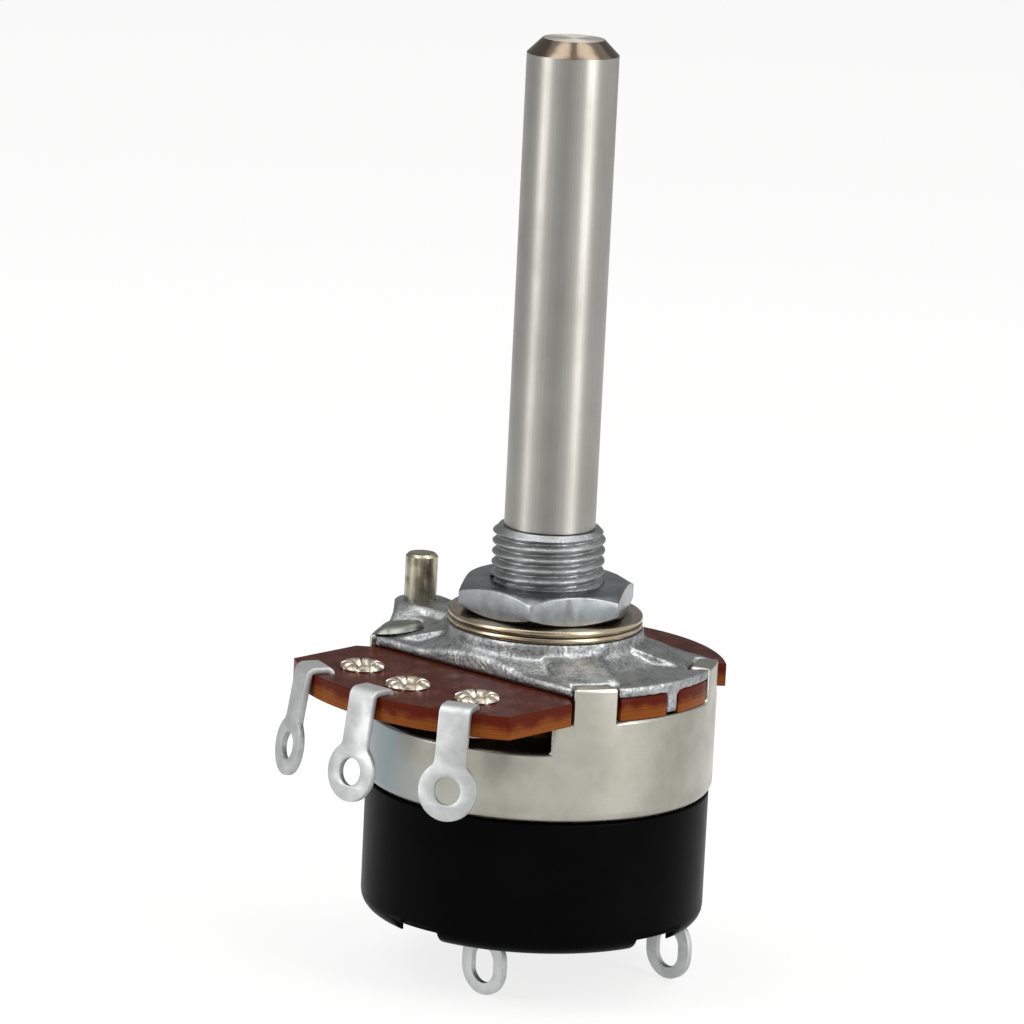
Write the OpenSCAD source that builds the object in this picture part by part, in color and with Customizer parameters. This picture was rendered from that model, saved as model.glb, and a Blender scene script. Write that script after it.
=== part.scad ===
// Rotary potentiometer with a rotary on/off switch behind it.
// Millimetres. +Z runs along the shaft, away from the panel. Z = 0 is the face of the boss that seats
// behind the panel, on the shaft's axis. The three terminals point towards -Y.

/* [Shaft] */
// Diameter of the shaft where a knob goes
shaft_d = 6.35; // [6:0.05:6.6]
// Length of the shaft from the boss face to its tip
shaft_len = 40.9; // [20:0.1:60]
// Chamfer at the tip
tip_chamfer = 1.05; // [0.3:0.05:1.4]
// Diameter of the journal that turns in the bushing
journal_d = 5; // [4.4:0.1:5.4]
// Depth of the clip's groove
clip_groove = 0.4; // [0.3:0.05:0.5]
// Width of the flat on the shaft's end, from the axis
shaft_flat = 1.8; // [1.5:0.05:2]

/* [Bushing and cover] */
// Outer diameter over the thread
bushing_d = 7.85; // [7.6:0.05:8]
// Height of the bushing above the boss face
bushing_len = 6.9; // [6:0.1:12]
// Chamfer at the top of the bushing
bushing_chamfer = 0.42; // [0.2:0.02:0.45]
// Diameter of the boss
boss_d = 13.8; // [13.6:0.1:14.2]
// Height of the boss above the cover's flange
boss_h = 1.75; // [1.4:0.05:2.6]
// Height of the sloping skirt round the boss
skirt_h = 0.8; // [0.4:0.05:1.2]
// Width of the skirt at the flange
skirt_w = 1.9; // [1:0.1:2.4]
// Thickness of the cover's flange
flange_t = 0.75; // [0.6:0.05:1.2]
// Distance between the flange's two straight edges
flange_w = 14.6; // [14.4:0.1:15.2]
// Width of the four gussets between boss and rim
gusset_w = 4.2; // [2:0.1:4.6]
// Width of the key on the flange's right edge
key_w = 1; // [0.8:0.1:1.4]
// Diameter of the locating pin
pin_d = 2.3; // [2:0.1:2.6]
// Height of the locating pin above the boss face
pin_h = 2.7; // [1.5:0.1:4]
// Distance of the locating pin from the shaft's axis
pin_offset = 12; // [11.7:0.1:12.4]

/* [Nut and washers] */
// Width of the hexagon nut across its flats
nut_flats = 11.2; // [10.6:0.1:12]
// Thickness of the nut
nut_t = 2.15; // [1.6:0.05:3]
// Outer diameter of both washers
washer_d = 13.6; // [12:0.1:13.7]
// Thickness of the toothed lock washer
lock_t = 0.45; // [0.4:0.05:0.8]
// Thickness of the plain washer
plain_t = 0.5; // [0.4:0.05:0.8]
// Number of teeth in the lock washer
lock_teeth = 12; // [8:1:16]

/* [Element board] */
// Thickness of the board
board_t = 1.6; // [1.2:0.1:2]
// Radius of the board's terminal edge
tongue_r = 17.6; // [17:0.1:19]
// Width of the board's terminal end
tongue_w = 20.4; // [18:0.2:20.6]
// Radius of the board behind the case
board_back_r = 12.8; // [12.4:0.1:13.4]
// Diameter of the hole at the board's middle
board_hole_d = 9.2; // [9:0.1:9.4]
// Thickness of the printed track
track_t = 0.1; // [0.1:0.05:0.15]
// Distance from the inside of the case to the middle of the track
track_inset = 2.7; // [2.5:0.1:3.1]
// Width of the track
track_w = 1.6; // [1:0.1:2]
// Thickness of the collector ring
collector_t = 0.2; // [0.15:0.05:0.25]
// Radial width of the collector ring
collector_w = 1; // [0.8:0.1:1.2]

/* [Terminals] */
// Angle between neighbouring terminals
lug_step = 23.5; // [22:0.5:25]
// Thickness of the terminal strip
lug_t = 0.45; // [0.3:0.05:0.5]
// Width of the terminal strip
lug_w = 2.2; // [1.8:0.1:2.6]
// Radius of the round eye
eye_r = 2.05; // [1.8:0.05:2.3]
// Diameter of the hole in the eye
eye_hole_d = 1.9; // [1.6:0.1:2.4]
// Distance from the bend to the middle of the eye
eye_drop = 5.5; // [4:0.1:7]
// Outward lean of the terminals in degrees
lug_lean = 9; // [0:1:12]
// Distance from the board's terminal edge to the middle of the eyelets
eyelet_inset = 4; // [3.7:0.1:4.1]
// Diameter of an eyelet's flange
eyelet_flange_d = 3.1; // [2.6:0.1:3.2]
// Diameter of an eyelet's barrel
eyelet_d = 1.8; // [1.4:0.1:2]
// Diameter of the hole through an eyelet
eyelet_bore_d = 1; // [0.8:0.1:1.1]

/* [Case] */
// Outer diameter of the sheet steel case
case_d = 24.4; // [24.2:0.1:25]
// Thickness of the case's sheet
case_t = 0.5; // [0.4:0.05:0.6]
// Height of the case from its floor's outside to its rim
case_h = 7.2; // [7:0.1:9]
// Depth of the opening for the terminals below the rim
window_h = 2.2; // [1.4:0.1:2.6]
// Half angle of the opening for the terminals
window_half = 46; // [42:1:48]
// Width of the case's floor round its hole
case_floor_w = 3.8; // [3.7:0.1:4]
// Angle that a fold-over tab takes up
tab_angle = 14.5; // [10:0.5:15]
// Length of a tab's folded end
tab_fold = 1.5; // [1:0.1:1.8]

/* [Rotor] */
// Radial space between the case and the rotor that carries the wiper
rotor_play = 1.1; // [0.9:0.1:1.4]
// Thickness of the rotor
rotor_t = 2; // [1.6:0.1:2.2]
// Space between the board and the rotor
rotor_gap = 2.5; // [2.3:0.1:2.7]
// Thickness of the wiper's spring sheet
wiper_t = 0.3; // [0.2:0.05:0.35]
// Half of the shaft's turn in degrees
half_turn = 150; // [120:5:150]

/* [Switch] */
// Step from the case in to the switch housing
housing_step = 0.2; // [0.1:0.05:0.4]
// Height of the switch housing with its feet
housing_h = 9.4; // [9.3:0.1:12]
// Wall of the switch housing
housing_wall = 1.2; // [1:0.05:1.3]
// Thickness of the housing's floor
housing_floor = 1.4; // [1.2:0.1:1.6]
// Height of the feet under the housing
foot_h = 0.8; // [0.8:0.1:1.2]
// Radial width of the feet
foot_w = 0.9; // [0.7:0.1:0.9]
// Angle of each gap between the feet
foot_gap_angle = 19; // [8:1:22]
// Turn of the switch rotor between on and off in degrees
switch_turn = 30; // [20:1:30]
// Diameter of the post that the switch rotor turns on
post_d = 3.2; // [2.8:0.1:3.6]
// Distance from the housing's floor to the bottom of the switch lugs
switch_lug_len = 5; // [4.5:0.1:7]
// Diameter of the detent ball
ball_d = 1.9; // [1.6:0.1:1.9]

/* [Fits] */
// Radial clearance of turning fits
turn_fit = 0.04; // [0.02:0.01:0.08]
// Radial clearance round fixed pins and rivets
fixed_fit = 0.03; // [0.02:0.01:0.05]
// Clearance along the shaft between turning pieces
end_play = 0.05; // [0.04:0.01:0.1]

/* [Hidden] */
$fn = 96;
cut = 0.5;

// Levels from the boss face down
flange_top = -boss_h;
flange_bottom = flange_top - flange_t;
board_bottom = flange_bottom - board_t;
rim_z = board_bottom;
case_bottom = rim_z - case_h;
case_floor_top = case_bottom + case_t;
rotor_top = board_bottom - rotor_gap;
rotor_bottom = rotor_top - rotor_t;
housing_top = case_bottom;
housing_bottom = housing_top - housing_h;
base_z = housing_bottom + foot_h;
floor_top = base_z + housing_floor;

// Round sizes that several pieces share
shaft_r = shaft_d / 2;
journal_r = journal_d / 2;
groove_r = journal_r - clip_groove;
case_r = case_d / 2;
case_in_r = case_r - case_t;
case_hole_r = case_r - case_floor_w;
housing_r = case_r - housing_step;
housing_in_r = housing_r - housing_wall;
board_hole_r = board_hole_d / 2;
rotor_r = case_in_r - rotor_play;
track_r = case_in_r - track_inset;
post_r = post_d / 2;
tab_angles = [60, 120, 240, 300];
tab_seat = flange_bottom + 0.25;
tab_pocket = tab_angle / 2 + 0.6;
washers_top = lock_t + plain_t;
pin_seat = flange_top + 0.25;
ear_top = flange_top + 0.65 * boss_h;

// Clip and thrust washer lie in the board's hole
washer_t = 0.3;
clip_t = 0.6;
thrust_top = flange_bottom - end_play;
clip_top = thrust_top - washer_t - end_play / 2;
clip_r = board_hole_r - 0.5;

// Terminal strips pass under the board, up through a slot and over its edge
slot_r = tongue_r - 1.6;
eyelet_r = tongue_r - eyelet_inset;
strip_in_r = eyelet_r - 1.7;
eyelet_flange_t = 0.35;
lug_angles = [-lug_step, 0, lug_step];

// The rotor's drive finger passes inside the horn of the switch rotor
finger_r = case_hole_r - 1.4;
finger_reach = 4.9;
finger_w = 1.4;
horn_gap = 0.15;
horn_w = 1.45;
horn_r = finger_r + horn_gap;
finger_low = floor_top + finger_reach;
stop_r = case_in_r - 1.8;
stop_half = 23;
nib_half = 4;
nib_h = 1.2;
window_at = 270;

// Switch levels, counted up from the housing's floor
button_h = 0.9;
bridge_t = 0.4;
bridge_low = floor_top + button_h + end_play;
disc_low = bridge_low + bridge_t;
disc_t = 2.25;
disc_r = 6.2;
horn_top = finger_low + 1.1;
hub_r = post_r + 1;
detent_z = disc_low + 1.5;
detent_angle = 150;
ball_r = ball_d / 2;
ball_at = housing_in_r - 0.15 - ball_r;
pocket_r = ball_r + 0.05;

// Switch lugs: where each eye stands and where its rivet goes
front_lug = [2.6, 3.2 - housing_in_r];
rear_lug_way = [23, 17];
rear_lug_inset = 0.789755;
rear_lug = (housing_in_r - rear_lug_inset) * rear_lug_way / norm(rear_lug_way);
lug_foot = 2.7;
front_rivet = front_lug + [0, lug_foot];
rear_rivet = rear_lug - [0, lug_foot];
switch_eye_r = 1.95;
slot_hole_r = 1;
slot_hole_len = 0.6;
button_r = 1.1;
rivet_r = 0.75;

// Rivets that hold the housing to the case
case_rivet_r = housing_in_r - 1;
case_rivet_angles = [122, 302];
case_rivet_head_r = 1.2;
case_rivet_head_t = 0.45;

// A piece of a ring between two radii, from angle a0 to a1, counted from +X
module ring_sector(r_in, r_out, h, a0, a1) {
    rotate([0, 0, a0])
        rotate_extrude(angle = a1 - a0)
            translate([r_in, 0])
                square([r_out - r_in, h]);
}

module tube(r_out, r_in, h) {
    difference() {
        cylinder(r = r_out, h = h);
        translate([0, 0, -cut])
            cylinder(r = r_in, h = h + 2 * cut);
    }
}

// The shaft's end below the groove has one flat that drives the rotor
module shaft_end(grow, top, bottom) {
    intersection() {
        translate([0, 0, bottom])
            cylinder(r = journal_r + grow, h = top - bottom);
        translate([-journal_r - cut, -journal_r - cut, bottom - cut])
            cube([journal_r + cut + shaft_flat + grow, 2 * (journal_r + cut), top - bottom + 2 * cut]);
    }
}

module shaft() {
    shoulder = bushing_len + end_play;
    color("silver") union() {
        translate([0, 0, shoulder])
            cylinder(r = shaft_r, h = shaft_len - tip_chamfer - shoulder);
        translate([0, 0, shaft_len - tip_chamfer])
            cylinder(r1 = shaft_r, r2 = shaft_r - tip_chamfer, h = tip_chamfer);
        translate([0, 0, clip_top])
            cylinder(r = journal_r, h = shoulder - clip_top);
        translate([0, 0, clip_top - clip_t - end_play])
            cylinder(r = groove_r, h = clip_t + end_play);
        shaft_end(0, clip_top - clip_t - end_play, rotor_bottom - 0.6);
    }
}

module retaining_clip() {
    mouth = 2 * groove_r - 0.6;
    color("gainsboro")
        translate([0, 0, clip_top - clip_t])
            difference() {
                tube(clip_r, groove_r + fixed_fit, clip_t);
                translate([0, -mouth / 2, -cut])
                    cube([clip_r + cut, mouth, clip_t + 2 * cut]);
            }
}

module thrust_washer() {
    color("gainsboro")
        translate([0, 0, thrust_top - washer_t])
            tube(clip_r, journal_r + turn_fit, washer_t);
}

// Triangle between the boss and the rim, one under each tab
module gusset() {
    reach = case_r - tab_fold - 0.3;
    rotate([90, 0, 0])
        translate([0, 0, -gusset_w / 2])
            linear_extrude(gusset_w)
                polygon([[boss_d / 2 - 1, flange_top - flange_t / 2], [reach, flange_top - flange_t / 2],
                    [reach, flange_top], [boss_d / 2 - 1, flange_top + 0.72 * boss_h]]);
}

module cover_ear() {
    ear_r = pin_d / 2 + 0.6;
    step_r = ear_r + 0.7;
    step_top = flange_top + 0.3 * boss_h;
    translate([-pin_offset, 0, flange_bottom])
        cylinder(r = ear_r, h = ear_top - flange_bottom);
    translate([-pin_offset, -ear_r, flange_bottom])
        cube([pin_offset - boss_d / 2 + 1, 2 * ear_r, ear_top - flange_bottom]);
    translate([1 - case_r, -step_r, flange_bottom])
        cube([case_r - boss_d / 2, 2 * step_r, step_top - flange_bottom]);
}

module cover() {
    key_r = case_r;
    color("darkgray") difference() {
        union() {
            intersection() {
                union() {
                    translate([0, 0, flange_bottom])
                        cylinder(r = case_r, h = flange_t);
                    translate([0, 0, flange_top - 0.1])
                        cylinder(r1 = boss_d / 2 + skirt_w, r2 = boss_d / 2 - 0.1, h = skirt_h + 0.1);
                }
                translate([-case_r, -flange_w / 2, flange_bottom - cut])
                    cube([2 * case_r, flange_w, boss_h + flange_t + cut]);
            }
            translate([0, 0, flange_bottom + flange_t / 2])
                cylinder(r = boss_d / 2, h = boss_h + flange_t / 2);
            cylinder(r = bushing_d / 2, h = bushing_len - bushing_chamfer);
            translate([0, 0, bushing_len - bushing_chamfer])
                cylinder(r1 = bushing_d / 2, r2 = bushing_d / 2 - bushing_chamfer, h = bushing_chamfer);
            for (a = tab_angles)
                rotate([0, 0, a - 90])
                    gusset();
            cover_ear();
            translate([key_r - 0.8, -key_w / 2, board_bottom + 0.15])
                cube([0.75, key_w, board_t]);
        }
        translate([0, 0, flange_bottom - cut])
            cylinder(r = journal_r + turn_fit, h = bushing_len - flange_bottom + 2 * cut);
        translate([-pin_offset, 0, pin_seat])
            cylinder(r = pin_d / 2 - 0.35 + fixed_fit, h = boss_h + flange_t);
        for (s = [-1, 1])
            translate([case_r - 2, s * 3.9, flange_top - 0.3])
                cylinder(r = 0.55, h = 1);
        for (a = tab_angles) {
            translate([0, 0, tab_seat])
                ring_sector(case_r - tab_fold - 0.15, case_r + cut, boss_h, a - 90 - tab_pocket, a - 90 + tab_pocket);
            translate([0, 0, flange_bottom - cut])
                ring_sector(case_in_r - 0.05, case_r + cut, boss_h, a - 90 - tab_pocket, a - 90 + tab_pocket);
        }
    }
}

module locating_pin() {
    color("tan") union() {
        translate([-pin_offset, 0, pin_seat])
            cylinder(r = pin_d / 2 - 0.35, h = ear_top - pin_seat + 0.2);
        translate([-pin_offset, 0, ear_top])
            cylinder(r = pin_d / 2, h = pin_h - 0.2 - ear_top);
        translate([-pin_offset, 0, pin_h - 0.2])
            cylinder(r1 = pin_d / 2, r2 = pin_d / 2 - 0.2, h = 0.2);
    }
}

module lock_washer() {
    tooth_in = bushing_d / 2 + 0.15;
    band_in = bushing_d / 2 + 1;
    color("darkkhaki")
        linear_extrude(lock_t)
            union() {
                difference() {
                    circle(r = washer_d / 2);
                    circle(r = band_in);
                }
                for (i = [0 : lock_teeth - 1])
                    rotate(i * 360 / lock_teeth)
                        translate([tooth_in, -0.5])
                            square([band_in - tooth_in + 0.2, 1]);
            }
}

module plain_washer() {
    color("darkkhaki")
        translate([0, 0, lock_t])
            tube(washer_d / 2, bushing_d / 2 + 0.15, plain_t);
}

// Hexagon with both faces turned back to the corners
module hex_nut() {
    corner_r = nut_flats / 2 / cos(30);
    face_r = nut_flats / 2 - 0.15;
    bevel = (corner_r - face_r) * tan(30);
    color("lightgray")
        translate([0, 0, washers_top])
            difference() {
                intersection() {
                    rotate([0, 0, 2.5])
                        cylinder(r = corner_r, h = nut_t, $fn = 6);
                    rotate_extrude()
                        polygon([[0, 0], [face_r, 0], [corner_r, bevel], [corner_r, nut_t - bevel],
                            [face_r, nut_t], [0, nut_t]]);
                }
                translate([0, 0, -cut])
                    cylinder(r = bushing_d / 2 + fixed_fit, h = nut_t + 2 * cut);
            }
}

module board_outline() {
    union() {
        circle(r = case_r - 0.1);
        intersection() {
            circle(r = tongue_r);
            translate([-tongue_w / 2, -tongue_r])
                square([tongue_w, tongue_r]);
        }
        intersection() {
            circle(r = board_back_r);
            rotate(45)
                square(2 * board_back_r);
        }
    }
}

module element_board() {
    notch_half = tab_angle / 2 + 1.5;
    color("saddlebrown") difference() {
        translate([0, 0, board_bottom])
            linear_extrude(board_t)
                board_outline();
        translate([0, 0, board_bottom - cut])
            cylinder(r = board_hole_r, h = board_t + 2 * cut);
        for (a = tab_angles)
            translate([0, 0, board_bottom - cut])
                ring_sector(case_in_r - 0.1, tongue_r, board_t + 2 * cut, a - 90 - notch_half, a - 90 + notch_half);
        translate([case_r - 0.95, -key_w / 2 - 0.1, board_bottom - cut])
            cube([2, key_w + 0.2, board_t + 2 * cut]);
        for (a = lug_angles)
            rotate([0, 0, a]) {
                translate([0, -eyelet_r, board_bottom - cut])
                    cylinder(r = eyelet_d / 2 + fixed_fit, h = board_t + 2 * cut);
                translate([-lug_w / 2 - 0.05, -slot_r - lug_t - 0.05, board_bottom - cut])
                    cube([lug_w + 0.1, lug_t + 0.1, board_t + 2 * cut]);
            }
    }
}

// Carbon horseshoe with one end led to each outer terminal
module resistive_track() {
    end_angle = lug_step + 1;
    color("black")
        translate([0, 0, board_bottom - track_t])
            union() {
                ring_sector(track_r - track_w / 2, track_r + track_w / 2, track_t, -90 + end_angle, 270 - end_angle);
                for (s = [-1, 1])
                    rotate([0, 0, s * lug_step])
                        translate([-lug_w / 2, -max(strip_in_r - 0.02, track_r), 0])
                            cube([lug_w, abs(strip_in_r - track_r - 0.02), track_t]);
            }
}

module collector_ring() {
    in_r = board_hole_r + 0.1;
    color("silver")
        translate([0, 0, board_bottom - collector_t])
            union() {
                tube(in_r + collector_w, in_r, collector_t);
                translate([-lug_w / 2 + 0.2, -strip_in_r + 0.02, 0])
                    cube([lug_w - 0.4, strip_in_r - 0.02 - in_r - collector_w / 2, collector_t]);
            }
}

// A strip under the board, up through the slot, over the edge and down to the eye
module terminal(angle) {
    edge_r = tongue_r + 0.05;
    over_z = flange_bottom;
    color("lightgray")
        rotate([0, 0, angle - 90])
            difference() {
                union() {
                    rotate([90, 0, 0])
                        translate([0, 0, -lug_w / 2])
                            linear_extrude(lug_w)
                                polygon([[strip_in_r, board_bottom - lug_t], [slot_r + lug_t, board_bottom - lug_t],
                                    [slot_r + lug_t, over_z], [edge_r + lug_t, over_z],
                                    [edge_r + lug_t, over_z + lug_t], [slot_r, over_z + lug_t],
                                    [slot_r, board_bottom], [strip_in_r, board_bottom]]);
                    translate([edge_r, 0, over_z + lug_t / 2])
                        rotate([0, -lug_lean, 0]) {
                            translate([0, -lug_w / 2, -eye_drop])
                                cube([lug_t, lug_w, eye_drop]);
                            translate([0, 0, -eye_drop])
                                rotate([0, 90, 0])
                                    cylinder(r = eye_r, h = lug_t);
                        }
                }
                translate([edge_r, 0, over_z + lug_t / 2])
                    rotate([0, -lug_lean, 0])
                        translate([-cut, 0, -eye_drop])
                            rotate([0, 90, 0])
                                cylinder(r = eye_hole_d / 2, h = lug_t + 2 * cut);
                translate([eyelet_r, 0, board_bottom - lug_t - cut])
                    cylinder(r = eyelet_d / 2 + fixed_fit, h = lug_t + 2 * cut);
            }
}

module left_terminal() {
    terminal(-lug_step);
}

module wiper_terminal() {
    terminal(0);
}

module right_terminal() {
    terminal(lug_step);
}

// Three hollow rivets, rolled over on top of the board
module terminal_eyelets() {
    low = board_bottom - lug_t;
    flange_r = eyelet_flange_d / 2;
    color("darkkhaki")
        for (a = lug_angles)
            rotate([0, 0, a])
                translate([0, -eyelet_r, 0])
                    rotate_extrude()
                        polygon([[eyelet_bore_d / 2, low - eyelet_flange_t], [flange_r - 0.2, low - eyelet_flange_t],
                            [flange_r - 0.2, low], [eyelet_d / 2, low], [eyelet_d / 2, flange_bottom],
                            [flange_r, flange_bottom], [flange_r - 0.15, flange_bottom + eyelet_flange_t],
                            [eyelet_d / 2 - 0.15, flange_bottom + eyelet_flange_t], [eyelet_bore_d / 2, flange_bottom]]);
}

// Drawn steel cup with a corner radius, an opening for the terminals and four tabs
module case() {
    bend_r = 0.8;
    arc = [for (i = [0 : 6]) [case_r - bend_r + bend_r * sin(i * 15), case_bottom + bend_r - bend_r * cos(i * 15)]];
    tab_top = tab_seat + case_t;
    color("silver") difference() {
        union() {
            rotate_extrude()
                polygon(concat([[case_hole_r, case_bottom]], arc, [[case_r, rim_z], [case_in_r, rim_z],
                    [case_in_r, case_floor_top], [case_hole_r, case_floor_top]]));
            for (a = tab_angles) {
                translate([0, 0, rim_z - 1])
                    ring_sector(case_in_r + 0.02, case_r, tab_top - rim_z + 1, a - 90 - tab_angle / 2,
                        a - 90 + tab_angle / 2);
                translate([0, 0, tab_seat])
                    ring_sector(case_r - tab_fold, case_r, case_t, a - 90 - tab_angle / 2, a - 90 + tab_angle / 2);
            }
            translate([0, 0, case_bottom + case_t / 2])
                ring_sector(stop_r, stop_r + case_t, rotor_bottom + 0.4 - case_bottom, window_at - stop_half,
                    window_at + stop_half);
        }
        translate([0, 0, rim_z - window_h])
            ring_sector(case_in_r - 0.3, case_r + cut, window_h + cut, window_at - window_half, window_at + window_half);
        for (a = case_rivet_angles)
            rotate([0, 0, a])
                translate([case_rivet_r, 0, case_bottom - cut])
                    cylinder(r = rivet_r + fixed_fit, h = case_t + 2 * cut);
    }
}

// Moulded disc on the shaft's end with a drive finger and a stop nib underneath
module rotor() {
    hub_low = rotor_bottom - 1;
    color("wheat") difference() {
        union() {
            translate([0, 0, rotor_bottom])
                cylinder(r = stop_r - 0.3, h = rotor_t);
            translate([0, 0, rotor_bottom + 0.8])
                cylinder(r = rotor_r, h = rotor_t - 0.8);
            translate([0, 0, hub_low])
                cylinder(r = 4, h = rotor_t);
            translate([-finger_w / 2, finger_r - finger_w, finger_low])
                cube([finger_w, finger_w - 0.04, rotor_bottom - finger_low + cut]);
            translate([0, 0, rotor_bottom + 0.1])
                ring_sector(stop_r - 0.5, rotor_r, nib_h, 90 - nib_half, 90 + nib_half);
        }
        shaft_end(fixed_fit, rotor_top + cut, rotor_bottom - 0.6);
        translate([0, 0, hub_low - cut])
            cylinder(r = 1.6, h = 2);
    }
}

// Spring sheet with one arm on the track and one on the collector
module wiper() {
    track_z = board_bottom - track_t - end_play;
    collector_z = board_bottom - collector_t - end_play;
    ring_r = board_hole_r + 0.1 + collector_w / 2;
    arm_w = 1.6;
    base_r = 6.6;
    color("goldenrod") union() {
        translate([0, 0, rotor_top])
            tube(base_r, journal_r + 0.2, wiper_t);
        rotate([90, 0, 90])
            translate([0, 0, -arm_w / 2])
                linear_extrude(arm_w)
                    polygon([[base_r - 0.6, rotor_top], [base_r + 0.1, rotor_top], [track_r - 0.3, track_z - wiper_t],
                        [track_r + 0.5, track_z - wiper_t], [track_r + 0.5, track_z], [track_r - 0.45, track_z],
                        [base_r - 0.2, rotor_top + wiper_t], [base_r - 0.6, rotor_top + wiper_t]]);
        rotate([90, 0, -90])
            translate([0, 0, -arm_w / 2])
                linear_extrude(arm_w)
                    polygon([[base_r, rotor_top], [base_r, rotor_top + wiper_t], [ring_r + 0.35, collector_z],
                        [ring_r - 0.35, collector_z], [ring_r - 0.35, collector_z - wiper_t],
                        [ring_r + 0.15, collector_z - wiper_t], [base_r - 0.5, rotor_top + wiper_t / 2],
                        [base_r - 0.5, rotor_top]]);
    }
}

module foot_gaps() {
    for (a = [0, 90, 180, 270])
        translate([0, 0, housing_bottom - cut])
            ring_sector(housing_r - foot_w - cut, housing_r + cut, foot_h + cut, a - foot_gap_angle / 2,
                a + foot_gap_angle / 2);
}

// Moulded cup with four feet, a post for the switch rotor and two bosses for rivets
module switch_housing() {
    edge_r = 1.2;
    arc = [for (i = [0 : 6]) [housing_r - edge_r + edge_r * sin(i * 15), housing_bottom + edge_r - edge_r * cos(i * 15)]];
    post_top = disc_low + disc_t + 1.2;
    boss_r = case_rivet_head_r + 0.05;
    color("#141414") difference() {
        union() {
            rotate_extrude()
                polygon(concat([[0, base_z], [housing_r - foot_w, base_z], [housing_r - foot_w, housing_bottom]],
                    [for (p = arc) if (p[0] > housing_r - foot_w + 0.1) p], [[housing_r, housing_top],
                    [housing_in_r, housing_top], [housing_in_r, floor_top], [0, floor_top]]));
            translate([0, 0, floor_top - cut])
                cylinder(r = post_r, h = post_top - floor_top + cut);
            for (a = case_rivet_angles)
                rotate([0, 0, a])
                    translate([case_rivet_r, 0, floor_top - cut])
                        cylinder(r = boss_r, h = housing_top - 0.1 - floor_top + cut);
        }
        foot_gaps();
        for (a = case_rivet_angles)
            rotate([0, 0, a])
                translate([case_rivet_r, 0, housing_bottom - cut])
                    cylinder(r = rivet_r + fixed_fit, h = housing_h + 2 * cut);
        for (p = [front_rivet, rear_rivet])
            translate([p[0], p[1], base_z - cut])
                cylinder(r = rivet_r + fixed_fit, h = housing_floor + 2 * cut);
        for (a = [detent_angle, detent_angle + switch_turn])
            rotate([0, 0, a])
                translate([housing_in_r - ball_r + 0.25, 0, detent_z - ball_r - 0.1])
                    cylinder(r = ball_r, h = d_height());
    }
}

// Height of a detent groove in the housing's wall
function d_height() = ball_d + 0.2;

// Moulded toggle that turns on the housing's post
module switch_rotor() {
    horn_angle = 90 + half_turn - switch_turn;
    horn_half = 5;
    lead = 7;
    arm_end = ball_at + 0.2;
    arm_r = pocket_r + 0.45;
    color("ivory") difference() {
        union() {
            translate([0, 0, disc_low])
                cylinder(r = disc_r, h = disc_t);
            translate([0, 0, floor_top + end_play])
                cylinder(r = hub_r, h = disc_low + disc_t + 0.9 - floor_top - end_play);
            translate([0, 0, disc_low + 0.5])
                ring_sector(disc_r - 1, horn_r + horn_w, disc_t - 0.5, horn_angle + lead, horn_angle + lead + 2 * horn_half);
            translate([0, 0, disc_low + 0.5])
                ring_sector(horn_r, horn_r + horn_w, horn_top - disc_low - 0.5, horn_angle + lead,
                    horn_angle + lead + 2 * horn_half);
            rotate([0, 0, detent_angle])
                translate([hub_r, 0, detent_z])
                    rotate([0, 90, 0])
                        cylinder(r = arm_r, h = arm_end - hub_r);
        }
        translate([0, 0, floor_top - cut])
            cylinder(r = post_r + turn_fit, h = housing_h);
        rotate([0, 0, detent_angle])
            translate([hub_r + 1.2, 0, detent_z])
                rotate([0, 90, 0])
                    cylinder(r = pocket_r, h = arm_end);
    }
}

// Flat bronze piece that joins the two contact buttons when the switch is on
module bridge_contact() {
    color("goldenrod")
        translate([0, 0, bridge_low])
            difference() {
                union() {
                    cylinder(r = hub_r + 1.4, h = bridge_t);
                    for (p = [front_rivet, rear_rivet]) {
                        reach = norm(p);
                        rotate([0, 0, atan2(p[1], p[0])])
                            translate([0, -button_r + 0.2, 0])
                                cube([reach, 2 * button_r - 0.4, bridge_t]);
                        translate([p[0], p[1], 0])
                            cylinder(r = button_r, h = bridge_t);
                    }
                }
                translate([0, 0, -cut])
                    cylinder(r = hub_r + fixed_fit, h = bridge_t + 2 * cut);
            }
}

// A round wire swept along a list of points, as one closed skin
module wire(path, r, sides) {
    n = len(path);
    function dir(i) = let (a = path[max(i - 1, 0)], b = path[min(i + 1, n - 1)]) (b - a) / norm(b - a);
    function side(d) = let (c = cross(d, [1, 0, 0])) c / norm(c);
    ring = [for (i = [0 : n - 1]) let (d = dir(i), u = side(d), v = cross(d, u))
        for (j = [0 : sides - 1]) path[i] + r * (cos(j * 360 / sides) * u + sin(j * 360 / sides) * v)];
    walls = [for (i = [0 : n - 2], j = [0 : sides - 1]) let (k = (j + 1) % sides)
        [i * sides + j, i * sides + k, (i + 1) * sides + k, (i + 1) * sides + j]];
    first = [for (j = [sides - 1 : -1 : 0]) j];
    last = [for (j = [0 : sides - 1]) (n - 1) * sides + j];
    polyhedron(points = ring, faces = concat([first], walls, [last]), convexity = 10);
}

// Compression spring behind the detent ball
module detent_spring() {
    wire_r = 0.13;
    coil_r = pocket_r - wire_r - 0.08;
    start = hub_r + 1.2 + wire_r + 0.02;
    length = ball_at - ball_r - wire_r - 0.02 - start;
    turns = 5;
    steps = turns * 12;
    color("silver")
        rotate([0, 0, detent_angle])
            translate([start, 0, detent_z])
                wire([for (i = [0 : steps]) [length * i / steps, coil_r * cos(i * 30), coil_r * sin(i * 30)]], wire_r, 8);
}

module detent_ball() {
    color("silver")
        rotate([0, 0, detent_angle])
            translate([ball_at, 0, detent_z])
                sphere(r = ball_r, $fn = 48);
}

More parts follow.
